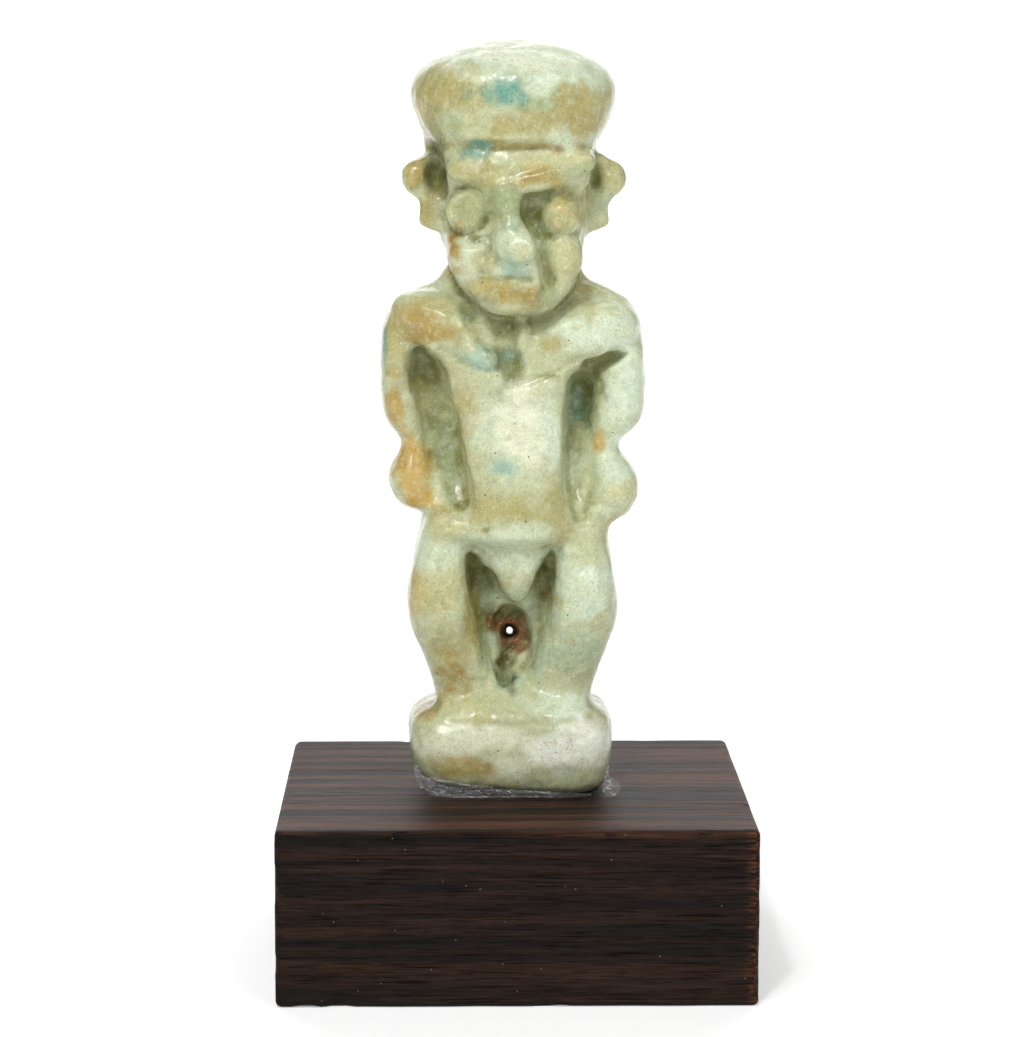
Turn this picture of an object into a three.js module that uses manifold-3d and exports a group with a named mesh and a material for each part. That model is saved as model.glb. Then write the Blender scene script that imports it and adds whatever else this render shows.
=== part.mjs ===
// An ancient faience amulet of a standing dwarf figure, glued to a small hardwood display block.
// Millimetres, +Z up. The figure faces -Y, and the origin is the middle of the block's underside.

import * as THREE from "three";
import { RoundedBoxGeometry } from "three/addons/geometries/RoundedBoxGeometry.js";
import { mergeVertices } from "three/addons/utils/BufferGeometryUtils.js";
import Module from "manifold-3d";

// Driving dimensions of the block
const BLOCK_WIDTH = 25;
const BLOCK_DEPTH = 25;
const BLOCK_HEIGHT = 9.25;
const BLOCK_EDGE_RADIUS = 0.3;

// Driving dimensions of the amulet's own rectangular base
const BASE_WIDTH = 11.1;
const BASE_DEPTH = 8.6;
const BASE_HEIGHT = 3.95; // from the underside to the soles
const BASE_EDGE = 0.9; // how far the rounded edges of the base draw in
const BASE_SHIFT = -0.2; // the base sits off the figure's middle, to the left seen from in front
const LEDGE_RISE = 0.3; // the ledges beside the feet stand this much above the soles
const UNDERSIDE_RISE = 0.6; // the worn underside is this much higher at its left end
const TOE_MARGIN = 0.15; // bare rim of the base in front of the toes

// Driving dimensions of the figure, of its string hole and of the hole between its legs
const FIGURE_HEIGHT = 36.2; // from the top of the base to the crown
const STRING_HOLE = 1.4;
const LEG_HOLE_MOUTH = 1.75;
const LEG_HOLE_THROAT = 0.4;

// Driving dimensions of the clear glue under and around the base
const GLUE_THICKNESS = 0.3;
const GLUE_UNDERCUT = 0.85; // the bead draws in under the base's ends
const GLUE_RISE = 1.1;
const GLUE_CLEARANCE = 0.05;

const AMULET_BOTTOM = BLOCK_HEIGHT + GLUE_THICKNESS;
const BASE_TOP = AMULET_BOTTOM + BASE_HEIGHT;

// The figure is laid out on a grid of 100 squares from the top of its base to its crown
const SQUARE = FIGURE_HEIGHT / 100;
const TOES = -(BASE_DEPTH / 2 - TOE_MARGIN) / SQUARE;

const manifold = await Module();
manifold.setup();

// Turns a closed three.js geometry into a solid that can be joined and cut
function solid(geometry) {
  geometry.deleteAttribute("normal");
  geometry.deleteAttribute("uv");
  const merged = mergeVertices(geometry, 1e-4);
  const corners = merged.index.array;
  const triangles = [];
  for (let i = 0; i < corners.length; i += 3) {
    const [a, b, c] = [corners[i], corners[i + 1], corners[i + 2]];
    if (a !== b && b !== c && c !== a) triangles.push(a, b, c);
  }
  return new manifold.Manifold(
    new manifold.Mesh({
      numProp: 3,
      vertProperties: merged.attributes.position.array,
      triVerts: new Uint32Array(triangles),
    }),
  );
}

function geometryOf(body) {
  const mesh = body.getMesh();
  const geometry = new THREE.BufferGeometry();
  geometry.setAttribute("position", new THREE.BufferAttribute(mesh.vertProperties, 3));
  geometry.setIndex(new THREE.BufferAttribute(mesh.triVerts, 1));
  return geometry.toNonIndexed();
}

const joined = (solids) => solids.reduce((sum, next) => sum.add(next));

// A skin over rounded rectangles, listed from the bottom up. Each section gives its height z, its
// left, right, front and back edges, and a tilt that lifts it to the right. A higher square is boxier.
function loft(sections, { rows = 1, sides = 24, square = 2.6, unit = SQUARE } = {}) {
  const curves = {};
  for (const key of ["z", "left", "right", "front", "back", "tilt"]) {
    const points = sections.map((section, i) => new THREE.Vector2(i, section[key] ?? 0));
    curves[key] = new THREE.SplineCurve(points);
  }
  const rounded = (s) => (Math.abs(s) < 1e-6 ? 0 : Math.sign(s) * Math.abs(s) ** (2 / square));
  const geometry = new THREE.CylinderGeometry(1, 1, 1, sides, rows * (sections.length - 1));
  const position = geometry.attributes.position;
  for (let i = 0; i < position.count; i++) {
    const at = {};
    for (const key in curves) at[key] = curves[key].getPoint(position.getY(i) + 0.5).y;
    const across = (at.right - at.left) / 2;
    const deep = (at.back - at.front) / 2;
    const x = (at.left + at.right) / 2 + across * rounded(position.getX(i));
    const y = (at.front + at.back) / 2 - deep * rounded(position.getZ(i));
    position.setXYZ(i, x * unit, y * unit, (at.z + at.tilt * x) * unit);
  }
  return solid(geometry);
}

// An ellipsoid, given its middle and its three half sizes in grid squares
function ball([x, y, z], [rx, ry, rz], turn = 0) {
  const geometry = new THREE.SphereGeometry(1, 12, 8).rotateX(Math.PI / 2);
  geometry.scale(rx, ry, rz).rotateY(turn).translate(x, y, z);
  return solid(geometry.scale(SQUARE, SQUARE, SQUARE));
}

// A round-ended bar between two points, thinner or thicker from front to back by depth
function bar(from, to, radius, depth = 1) {
  const start = new THREE.Vector3(...from);
  const way = new THREE.Vector3(...to).sub(start);
  const geometry = new THREE.CapsuleGeometry(radius, way.length(), 4, 12);
  const upright = new THREE.Vector3(0, 1, 0);
  geometry.scale(1, 1, depth);
  geometry.applyQuaternion(
    new THREE.Quaternion().setFromUnitVectors(upright, way.clone().normalize()),
  );
  geometry.translate(...start.addScaledVector(way, 0.5));
  return solid(geometry.scale(SQUARE, SQUARE, SQUARE));
}

// The base's outline, let out all round by a clearance to make the bed that the glue keeps for it
function baseBlock(clearance = 0) {
  const levels = [
    { share: 0, side: 1, face: 0.5 },
    { share: 0.08, side: 0.55, face: 0.15 },
    { share: 0.3, side: 0.15, face: 0 },
    { share: 0.62, side: 0, face: 0.05 },
    { share: 0.84, side: 0.1, face: 0.35 },
    { share: 0.95, side: 0.35, face: 0.9 },
    { share: 1, side: 0.8, face: 1.7 },
  ];
  const height = BASE_HEIGHT + LEDGE_RISE;
  const sections = levels.map(({ share, side, face }) => ({
    z: AMULET_BOTTOM + share * (height + clearance) - (1 - share) * clearance,
    left: BASE_SHIFT - BASE_WIDTH / 2 + 1.3 * side * BASE_EDGE - clearance,
    right: BASE_SHIFT + BASE_WIDTH / 2 - side * BASE_EDGE + clearance,
    front: -BASE_DEPTH / 2 + face * BASE_EDGE - clearance,
    back: BASE_DEPTH / 2 - side * BASE_EDGE + clearance,
    tilt: (-(1 - share) * UNDERSIDE_RISE) / BASE_WIDTH,
  }));
  return loft(sections, { sides: 36, square: 5, unit: 1 });
}

function feet() {
  return loft(
    [
      { z: -2, left: -11.7, right: 11.6, front: TOES + 0.3, back: 3 },
      { z: -0.3, left: -11.7, right: 11.6, front: TOES + 0.2, back: 3 },
      { z: 1.4, left: -11.6, right: 11.5, front: TOES + 1.2, back: 3 },
      { z: 3.2, left: -11.4, right: 11.2, front: TOES + 3.6, back: 2 },
    ],
    { square: 4 },
  );
}

function legs() {
  const rightLeg = [
    { z: -2, left: -11.4, right: -2.2, front: -8, back: 5 },
    { z: 1, left: -11.4, right: -2, front: -8, back: 5 },
    { z: 4, left: -12, right: -2.4, front: -7.8, back: 4.6 },
    { z: 8.5, left: -13.6, right: -4, front: -8.6, back: 5.4 },
    { z: 13, left: -15.5, right: -5.3, front: -9.8, back: 6 },
    { z: 16.6, left: -16.2, right: -6, front: -10.3, back: 5.6 },
    { z: 20, left: -15.7, right: -6.9, front: -9.6, back: 6 },
    { z: 24.5, left: -14.8, right: -6.6, front: -8.2, back: 7 },
    { z: 29, left: -13.8, right: -3, front: -7, back: 6 },
  ];
  const leftLeg = [
    { z: -2, left: 2.2, right: 11.4, front: -8, back: 5 },
    { z: 1, left: 2.2, right: 11.4, front: -8, back: 5 },
    { z: 4, left: 1.4, right: 11.8, front: -7.8, back: 4.6 },
    { z: 8.5, left: 2.7, right: 13.5, front: -8.8, back: 5.4 },
    { z: 13, left: 4.4, right: 15.2, front: -9.8, back: 6 },
    { z: 16.4, left: 5.4, right: 15.5, front: -10.2, back: 5.6 },
    { z: 20, left: 5.9, right: 15, front: -9.6, back: 6 },
    { z: 24.5, left: 6.4, right: 14.4, front: -8.2, back: 7 },
    { z: 29, left: 3, right: 13.8, front: -7, back: 6 },
  ];
  const web = [
    { z: -1, left: -6, right: 6, front: -2.2, back: 4 },
    { z: 8, left: -7, right: 7, front: -1.6, back: 4 },
    { z: 18, left: -9, right: 9, front: -1.4, back: 4 },
    { z: 27, left: -9, right: 9, front: -2, back: 5 },
  ];
  const instep = [
    { z: 0, left: -6, right: 6, front: -10.4, back: 0 },
    { z: 3.4, left: -5.8, right: 5.6, front: -8.2, back: 0 },
    { z: 5.4, left: -5.4, right: 4, front: -6, back: 0 },
    { z: 7.4, left: -4.6, right: 2.2, front: -3, back: 0 },
    { z: 9, left: -3.4, right: 0.4, front: -1, back: 0 },
  ];
  return joined([
    loft(rightLeg, { sides: 16, square: 3 }),
    loft(leftLeg, { sides: 16, square: 3 }),
    loft(web, { sides: 12, square: 4 }),
    loft(instep, { sides: 12, square: 3 }),
  ]);
}

function hips() {
  const pelvis = [
    { z: 22, left: -13.6, right: 13.4, front: -5, back: 7 },
    { z: 26, left: -14.4, right: 14, front: -7.2, back: 7.4 },
    { z: 30, left: -13.2, right: 13, front: -6.6, back: 6.4 },
    { z: 32, left: -11, right: 11, front: -3.4, back: 5.4 },
  ];
  const loinCloth = [
    { z: 16.3, left: -0.5, right: 1.1, front: -5.4, back: 0 },
    { z: 17.6, left: -1.5, right: 2, front: -7, back: 0 },
    { z: 20.5, left: -2.9, right: 3.1, front: -8, back: 0 },
    { z: 26.5, left: -5.6, right: 5.2, front: -8.6, back: 0 },
  ];
  return joined([
    loft(pelvis),
    loft(loinCloth, { sides: 16, square: 3.4 }),
    ball([-6.4, 4.2, 24.5], [6.4, 5.2, 5.6]),
    ball([6.4, 4.2, 24.5], [6.4, 5.2, 5.6]),
  ]);
}

function torso() {
  const slab = [
    { z: 25.6, left: -5.6, right: 6.3, front: -9.9, back: 2 },
    { z: 27, left: -6.2, right: 7, front: -10.8, back: 2 },
    { z: 30, left: -6, right: 7.1, front: -10.5, back: 2 },
    { z: 34, left: -6.2, right: 7, front: -10.1, back: 2 },
    { z: 38.8, left: -7.3, right: 7.2, front: -9.6, back: 2 },
    { z: 44.7, left: -8.5, right: 7.4, front: -9.3, back: 2 },
    { z: 50, left: -9.9, right: 8.1, front: -9, back: 2 },
    { z: 54, left: -10.8, right: 9.2, front: -8.6, back: 2 },
    { z: 57, left: -10.8, right: 9.6, front: -7.6, back: 2 },
    { z: 60, left: -10, right: 9.6, front: -6.2, back: 2 },
    { z: 62.4, left: -9, right: 9, front: -4.8, back: 2 },
  ];
  const hem = [
    { z: 25.6, left: -5.6, right: 6.2, front: -9.4, back: 0 },
    { z: 26.6, left: -9.8, right: 8.2, front: -10.2, back: 0 },
    { z: 28.4, left: -13.1, right: 9.4, front: -9.8, back: 0 },
    { z: 31, left: -12.8, right: 10.2, front: -7.6, back: 0 },
    { z: 34, left: -12.4, right: 10.8, front: -5.4, back: 0 },
    { z: 38, left: -12.8, right: 11, front: -3.6, back: 0 },
    { z: 43, left: -13.6, right: 11.2, front: -1.8, back: 0 },
  ];
  const plate = [
    { z: 25, left: -13, right: 12.6, front: -2, back: 5.4 },
    { z: 34, left: -14, right: 13.4, front: -2.2, back: 5 },
    { z: 44, left: -15.4, right: 14.6, front: -2, back: 4.8 },
    { z: 56, left: -16.6, right: 16.2, front: -2, back: 5.2 },
  ];
  return joined([
    loft(slab, { square: 4.5 }),
    loft(hem, { square: 3.2 }),
    loft(plate, { square: 4 }),
  ]);
}

function arms() {
  const rightArm = [
    { z: 30.1, left: -14.6, right: -11, front: -4.5, back: 2 },
    { z: 31.3, left: -17.2, right: -11, front: -6, back: 3 },
    { z: 34.8, left: -19, right: -11.8, front: -7, back: 4 },
    { z: 38, left: -17.9, right: -12.4, front: -5.9, back: 3.8 },
    { z: 40, left: -16.4, right: -12.9, front: -5.2, back: 3.6 },
    { z: 41.8, left: -17.4, right: -13.3, front: -5.8, back: 3.8 },
    { z: 44.2, left: -19.5, right: -13.8, front: -6.4, back: 4.4 },
    { z: 50, left: -19.9, right: -15.3, front: -6.2, back: 5 },
    { z: 57.5, left: -19.5, right: -15, front: -5.9, back: 5 },
    { z: 60.4, left: -18.2, right: -15.4, front: -4.8, back: 4 },
  ];
  const leftArm = [
    { z: 27.2, left: 10.9, right: 12.3, front: -5.4, back: 1 },
    { z: 28.4, left: 10.8, right: 14.8, front: -6, back: 2 },
    { z: 30, left: 10.6, right: 17.5, front: -6.6, back: 3.2 },
    { z: 33.4, left: 11, right: 18.8, front: -7, back: 4 },
    { z: 37.4, left: 11, right: 17.4, front: -6, back: 3.8 },
    { z: 39.6, left: 11.1, right: 15.2, front: -5.2, back: 3.6 },
    { z: 41.4, left: 11.3, right: 16.6, front: -5.6, back: 3.8 },
    { z: 44, left: 10.8, right: 19.3, front: -6.4, back: 4.4 },
    { z: 50, left: 11.4, right: 19.5, front: -6.4, back: 5 },
    { z: 57.5, left: 12.2, right: 19.2, front: -5.9, back: 5 },
    { z: 60.2, left: 13.8, right: 18, front: -4.8, back: 4 },
  ];
  return joined([
    loft(rightArm, { sides: 16, rows: 2 }),
    loft(leftArm, { sides: 16, rows: 2, square: 2.3 }),
  ]);
}

function shoulders() {
  const yoke = [
    { z: 54.6, left: -19.6, right: 19.3, front: -5.6, back: 5 },
    { z: 57.2, left: -19.5, right: 19.2, front: -6.4, back: 5.4 },
    { z: 59.8, left: -18.6, right: 18.3, front: -6.3, back: 5.2 },
    { z: 61.6, left: -17.2, right: 17, front: -5.6, back: 4.6 },
    { z: 63.2, left: -14.4, right: 14, front: -4.6, back: 4.2 },
    { z: 64.6, left: -11.4, right: 10.8, front: -3.8, back: 4 },
    { z: 67, left: -9.6, right: 9.6, front: -3.4, back: 4 },
  ];
  const breasts = [
    ball([-9, -3.4, 57.4], [10, 6.3, 5.2], 0.36),
    ball([9.4, -3.4, 56.2], [10, 6.3, 5.2], -0.26),
    ball([-5, -8.5, 53.6], [2.8, 1.9, 1.8], 0.4),
  ];
  const breastbone = joined([
    bar([-1.7, -7.8, 60.5], [-1.2, -9, 54.5], 1.7, 2.5),
    bar([-1.2, -9.2, 55], [-0.4, -10, 50.4], 1.1, 1.6),
  ]);
  const armpit = bar([12, -5.8, 52.3], [16.4, -6.6, 53.8], 0.9, 2);
  return {
    raised: joined([loft(yoke, { sides: 22 }), ...breasts]),
    cuts: joined([breastbone, armpit]),
  };
}

function backPillar() {
  const pillar = [
    { z: -1, left: -4.7, right: 4.7, front: 0, back: 9.8 },
    { z: 68, left: -4.3, right: 4.3, front: 0, back: 10 },
    { z: 70.5, left: -3.8, right: 3.8, front: 0, back: 8.8 },
  ];
  return loft(pillar, { sides: 20, square: 5 });
}

function head() {
  const face = [
    { z: 59.7, left: -2.8, right: 3.8, front: -11.4, back: -5 },
    { z: 61, left: -5.4, right: 6.2, front: -12.2, back: -2 },
    { z: 64, left: -8.3, right: 8.9, front: -12.2, back: 3 },
    { z: 67.5, left: -10, right: 10.1, front: -11.4, back: 6 },
    { z: 72, left: -10.5, right: 10.7, front: -10.9, back: 8.6 },
    { z: 78, left: -10.3, right: 11.3, front: -10.9, back: 10 },
    { z: 83.8, left: -11, right: 12, front: -11, back: 10.4 },
    { z: 86, left: -12.2, right: 12.6, front: -11, back: 10.6 },
  ];
  const skull = [
    { z: 66, left: -8.6, right: 8.4, front: -1, back: 5 },
    { z: 70, left: -11, right: 10.6, front: -3, back: 8.6 },
    { z: 76, left: -12.2, right: 11.8, front: -4, back: 10.8 },
    { z: 83.6, left: -13.3, right: 12.2, front: -5, back: 11.4 },
    { z: 87, left: -13.4, right: 13, front: -5, back: 11.8 },
  ];
  return joined([
    loft(face, { sides: 24, square: 3 }),
    loft(skull, { sides: 20 }),
  ]);
}

function cap() {
  const widest = { z: 92.3, left: -15.5, right: 15.2, front: -12.7, back: 13 };
  const rim = [
    { z: 84.6, left: -12.2, right: 12, front: -10.8, back: 10.8 },
    { z: 85, left: -12.9, right: 12.5, front: -11.9, back: 11.2 },
    { z: 87, left: -13.8, right: 13.6, front: -12.1, back: 11.8 },
    { z: 89.6, left: -14.8, right: 14.7, front: -12.5, back: 12.6 },
  ];
  const domeHeight = 100 - widest.z;
  const dome = [];
  for (const degrees of [20, 38, 54, 68, 80]) {
    const angle = THREE.MathUtils.degToRad(degrees);
    const share = Math.cos(angle);
    dome.push({
      z: widest.z + domeHeight * Math.sin(angle),
      left: widest.left * share,
      right: widest.right * share,
      front: widest.front * share,
      back: widest.back * share,
    });
  }
  return loft([...rim, widest, ...dome], { sides: 26, square: 2.3 });
}

// One ear: a flat flap with an upper lobe, cut to its outline and hollowed in front
function ear(side) {
  const outline = [
    [8, 84],
    [12.3, 83.3],
    [14, 82.2],
    [15.9, 81.6],
    [16.7, 79.6],
    [16, 77.8],
    [14.3, 76.4],
    [13.8, 74.8],
    [14.2, 72.8],
    [12.4, 71.8],
    [8, 70],
  ];
  const edge = 0.7;
  const shape = new THREE.Shape(
    new THREE.SplineCurve(outline.map(([x, z]) => new THREE.Vector2(x, z))).getPoints(15),
  );
  const flap = new THREE.ExtrudeGeometry(shape, {
    depth: 4.2,
    bevelThickness: edge,
    bevelSize: edge,
    bevelOffset: -edge,
    bevelSegments: 1,
  });
  flap.rotateX(Math.PI / 2).translate(0, 1.2, 0).scale(SQUARE, SQUARE, SQUARE);
  const lobe = ball([14.2, -2.4, 79.5], [2.5, 2.4, 2.7]);
  const hollow = ball([11.6, -4.8, 79.6], [1.7, 3, 2.6]);
  const right = solid(flap).add(lobe).subtract(hollow);
  return side > 0 ? right : right.mirror([1, 0, 0]);
}

function features() {
  const nose = [
    { z: 66, left: -1.8, right: 2.4, front: -12.8, back: -8 },
    { z: 67, left: -2.4, right: 2.9, front: -14, back: -8 },
    { z: 69, left: -2.5, right: 3, front: -14.4, back: -8 },
    { z: 71.4, left: -2.4, right: 2.4, front: -13.5, back: -8 },
    { z: 74.6, left: -2.3, right: 0.9, front: -12.4, back: -8 },
    { z: 78.6, left: -3, right: 1, front: -11.7, back: -8 },
  ];
  const upperLip = [
    { z: 64.2, left: -4.6, right: 3.6, front: -11.8, back: -8 },
    { z: 65.2, left: -5.2, right: 4.1, front: -12.6, back: -8 },
    { z: 66.8, left: -4.6, right: 3.9, front: -12.7, back: -8 },
    { z: 69.6, left: -3.4, right: 3.4, front: -11.8, back: -8 },
  ];
  return {
    sockets: joined([
      ball([-7.2, -13.4, 75], [4.2, 3.6, 3.9]),
      ball([4.9, -12.9, 74.6], [5.2, 4.8, 3.7]),
      bar([2.9, -12, 74], [4.9, -12.3, 64.8], 1.3, 2.4),
      ball([-4.1, -13.3, 73.4], [1.7, 3.3, 3.8]),
    ]),
    raised: joined([
      loft(nose, { sides: 18, square: 2.6 }),
      ball([0.2, -12.2, 69.2], [2.9, 2.3, 2.8]),
      loft(upperLip, { sides: 16, square: 2.6 }),
      ball([-7.3, -9.2, 74.9], [3, 1.8, 3]),
      ball([6.8, -9.3, 74.4], [2.8, 2.4, 2.8]),
      ball([-1, -8.6, 81], [9.6, 2.9, 3]),
      bar([1.9, -9.7, 79], [9.4, -8.9, 80.9], 1.7, 1.9),
      ball([-5.4, -8.4, 68], [4.4, 3.2, 4.6]),
      ball([7.2, -8.6, 68.4], [2.9, 2.8, 3.8]),
      ball([0.4, -9.8, 62.6], [5.6, 2.8, 3.2]),
    ]),
  };
}

// The string hole runs from side to side through the pillar, behind the neck
function stringHole() {
  const geometry = new THREE.CylinderGeometry(STRING_HOLE / 2, STRING_HOLE / 2, 12, 16);
  return solid(geometry.rotateZ(Math.PI / 2).translate(0, 6.9 * SQUARE, 64.5 * SQUARE));
}

// The hole between the legs narrows from its mouth in front to a pinprick behind
function legHole() {
  const front = -4 * SQUARE;
  const back = 11 * SQUARE;
  const geometry = new THREE.CylinderGeometry(
    LEG_HOLE_THROAT / 2,
    LEG_HOLE_MOUTH / 2,
    back - front,
    16,
  );
  return solid(geometry.translate(-0.6 * SQUARE, (front + back) / 2, 11.1 * SQUARE));
}

function amulet() {
  const { sockets, raised } = features();
  const crownedHead = head().add(cap()).subtract(sockets).add(raised);
  const chest = shoulders();
  const figure = joined([
    feet(),
    legs(),
    hips(),
    joined([arms(), torso(), chest.raised]).subtract(chest.cuts),
    backPillar(),
    crownedHead,
    ear(-1),
    ear(1),
  ]);
  return figure
    .subtract(stringHole())
    .subtract(legHole())
    .translate(0, 0, BASE_TOP)
    .add(baseBlock());
}

function glue() {
  const outline = (share) => ({
    left: BASE_SHIFT - BASE_WIDTH / 2 + share * GLUE_UNDERCUT,
    right: BASE_SHIFT + BASE_WIDTH / 2 - share * GLUE_UNDERCUT,
    front: -BASE_DEPTH / 2 + 0.18 * share * GLUE_UNDERCUT,
    back: BASE_DEPTH / 2 - share * GLUE_UNDERCUT,
  });
  const bead = [
    { z: BLOCK_HEIGHT, ...outline(1) },
    { z: BLOCK_HEIGHT + 0.45 * GLUE_RISE, ...outline(0.75) },
    { z: BLOCK_HEIGHT + GLUE_RISE, ...outline(0.45) },
  ];
  return loft(bead, { sides: 28, square: 5, unit: 1 }).subtract(baseBlock(GLUE_CLEARANCE));
}

const faience = new THREE.MeshStandardMaterial({ color: 0xc6cba9, roughness: 0.42 });
const hardwood = new THREE.MeshStandardMaterial({ color: 0x2b211c, roughness: 0.5 });
const clearGlue = new THREE.MeshStandardMaterial({
  color: 0xe8e6df,
  roughness: 0.15,
  transparent: true,
  opacity: 0.35,
});

function named(name, geometry, material) {
  const mesh = new THREE.Mesh(geometry, material);
  mesh.name = name;
  return mesh;
}

const block = named(
  "display_block",
  new RoundedBoxGeometry(BLOCK_WIDTH, BLOCK_DEPTH, BLOCK_HEIGHT, 2, BLOCK_EDGE_RADIUS),
  hardwood,
);
block.position.z = BLOCK_HEIGHT / 2;

const object = new THREE.Group();
object.add(block);
object.add(named("glue_bead", geometryOf(glue()), clearGlue));
object.add(named("faience_amulet", geometryOf(amulet()), faience));

export default object;
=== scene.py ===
import math

import bpy
import numpy as np
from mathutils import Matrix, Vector


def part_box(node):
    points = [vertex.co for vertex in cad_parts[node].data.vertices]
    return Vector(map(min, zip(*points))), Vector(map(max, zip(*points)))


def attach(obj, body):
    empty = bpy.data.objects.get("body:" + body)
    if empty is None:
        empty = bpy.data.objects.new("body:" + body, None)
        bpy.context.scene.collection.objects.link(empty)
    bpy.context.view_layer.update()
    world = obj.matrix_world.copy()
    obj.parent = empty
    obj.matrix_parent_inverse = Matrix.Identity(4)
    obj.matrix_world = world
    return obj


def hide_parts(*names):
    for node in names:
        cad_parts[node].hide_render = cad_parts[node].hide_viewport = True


# An ancient faience amulet glued to a small hardwood block. New pieces are modelled in
# millimetres, in the row's own frame, and brought to metres when they are finished.
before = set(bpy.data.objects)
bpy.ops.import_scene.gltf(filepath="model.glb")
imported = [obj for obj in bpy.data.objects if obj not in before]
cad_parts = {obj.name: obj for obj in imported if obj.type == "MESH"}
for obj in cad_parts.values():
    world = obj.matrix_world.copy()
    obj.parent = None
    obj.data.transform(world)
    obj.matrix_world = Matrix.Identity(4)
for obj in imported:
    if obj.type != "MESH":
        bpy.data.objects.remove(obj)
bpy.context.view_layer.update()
MM = 0.001

# The camera. A long lens a little above the figure's cap looks slightly down and to the right,
# as a small object is photographed on a table.
CAMERA_AT = Vector((-2.941, -196.440, 49.366)) * MM
CAMERA_PITCH = math.radians(7.4024)
CAMERA_YAW = math.radians(0.8281)
FOCAL_PIXELS = 3656.0
IMAGE_HEIGHT = 1037
SENSOR = 36.0

camera_data = bpy.data.cameras.new("camera")
camera_data.sensor_width = SENSOR
camera_data.lens = FOCAL_PIXELS / IMAGE_HEIGHT * SENSOR
camera_data.clip_start = 0.01
camera_data.clip_end = 10
camera = bpy.data.objects.new("camera", camera_data)
camera.location = CAMERA_AT
gaze = Vector((
    math.sin(CAMERA_YAW) * math.cos(CAMERA_PITCH),
    math.cos(CAMERA_YAW) * math.cos(CAMERA_PITCH),
    -math.sin(CAMERA_PITCH),
))
camera.rotation_euler = gaze.to_track_quat("-Z", "Y").to_euler()
bpy.context.scene.collection.objects.link(camera)
bpy.context.scene.camera = camera


# The amulet: one piece of moulded and fired faience, with the soft, hand-pressed forms of its
# mould, worn edges, and hollows that keep the dirt, which painted shade darkens further.
# It starts as a copy of the frame's solid, is fused into one skin and then carved on its front,
# stroke by stroke.
SQUARE = 0.362  # one hundredth of the figure's height, in millimetres
SOLES = 13.5  # height of the figure's soles
SKIN = 0.152  # size of the skin's faces


def select_only(piece):
    bpy.ops.object.select_all(action="DESELECT")
    piece.select_set(True)
    bpy.context.view_layer.objects.active = piece


def copy_of_node(node, name):
    """A copy of a node's mesh in millimetres, with its loose triangles merged."""
    piece = bpy.data.objects.new(name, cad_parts[node].data.copy())
    piece.data.materials.clear()
    bpy.context.scene.collection.objects.link(piece)
    piece.scale = (1 / MM, 1 / MM, 1 / MM)
    select_only(piece)
    bpy.ops.object.transform_apply(location=False, rotation=False, scale=True)
    bpy.ops.object.mode_set(mode="EDIT")
    bpy.ops.mesh.select_all(action="SELECT")
    bpy.ops.mesh.remove_doubles(threshold=0.0005)
    bpy.ops.object.mode_set(mode="OBJECT")
    return piece


def modify(piece, kind, **settings):
    """Adds a modifier and applies it at once."""
    select_only(piece)
    modifier = piece.modifiers.new(kind.lower(), kind)
    for key, value in settings.items():
        setattr(modifier, key, value)
    bpy.ops.object.modifier_apply(modifier=modifier.name)


class Surface:
    """A piece's points and normals as arrays. store() writes the points back."""

    def __init__(self, piece):
        self.piece = piece
        mesh = piece.data
        at = np.empty(len(mesh.vertices) * 3, np.float32)
        mesh.vertices.foreach_get("co", at)
        self.at = at.reshape(-1, 3).astype(float)
        normal = np.empty(len(mesh.vertices) * 3, np.float32)
        mesh.vertex_normals.foreach_get("vector", normal)
        self.normal = normal.reshape(-1, 3).astype(float)

    def store(self):
        self.piece.data.vertices.foreach_set("co", self.at.astype(np.float32).ravel())
        self.piece.data.update()

    def relaxed(self, rounds, shares=1.0):
        """The points after each has moved towards its neighbours a number of times."""
        mesh = self.piece.data
        ends = np.empty(len(mesh.edges) * 2, np.int64)
        mesh.edges.foreach_get("vertices", ends)
        start, end = ends.reshape(-1, 2).T
        count = len(self.at)
        degree = np.bincount(start, minlength=count) + np.bincount(end, minlength=count)
        at = self.at.copy()
        for _ in range(rounds):
            for axis in range(3):
                total = np.bincount(start, at[end, axis], count)
                total += np.bincount(end, at[start, axis], count)
                at[:, axis] += 0.5 * shares * (total / degree - at[:, axis])
        return at


def soft(value, low, high):
    """0 below low, 1 above high, and a smooth rise between."""
    share = np.clip((value - low) / (high - low), 0, 1)
    return share * share * (3 - 2 * share)


LATTICE = 24  # random values along each side of a cloud, before it repeats


def cloud(points, size, seed):
    """Smooth random values from 0 to 1 that change over about size millimetres."""
    lattice = np.random.default_rng(seed).random((LATTICE, LATTICE, LATTICE))
    scaled = points / size + 100.0
    cell = np.floor(scaled).astype(int)
    part = scaled - cell
    part = part * part * (3 - 2 * part)
    total = np.zeros(len(points))
    for corner in np.ndindex(2, 2, 2):
        share = np.ones(len(points))
        for axis in range(3):
            share *= part[:, axis] if corner[axis] else 1 - part[:, axis]
        index = (cell + corner) % LATTICE
        total += share * lattice[index[:, 0], index[:, 1], index[:, 2]]
    return total


def smooth_line(points, steps=4):
    """A rounder line through a few points (Catmull-Rom), whatever each point holds."""
    points = [np.array(point, float) for point in points]
    if len(points) < 3:
        return points
    padded = [2 * points[0] - points[1], *points, 2 * points[-1] - points[-2]]
    line = []
    for a, b, c, d in zip(padded, padded[1:], padded[2:], padded[3:]):
        for step in range(steps):
            t = step / steps
            bend = (2 * a - 5 * b + 4 * c - d) * t**2 + (3 * b - a - 3 * c + d) * t**3
            line.append(0.5 * (2 * b + (c - a) * t + bend))
    return [*line, points[-1]]


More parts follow.
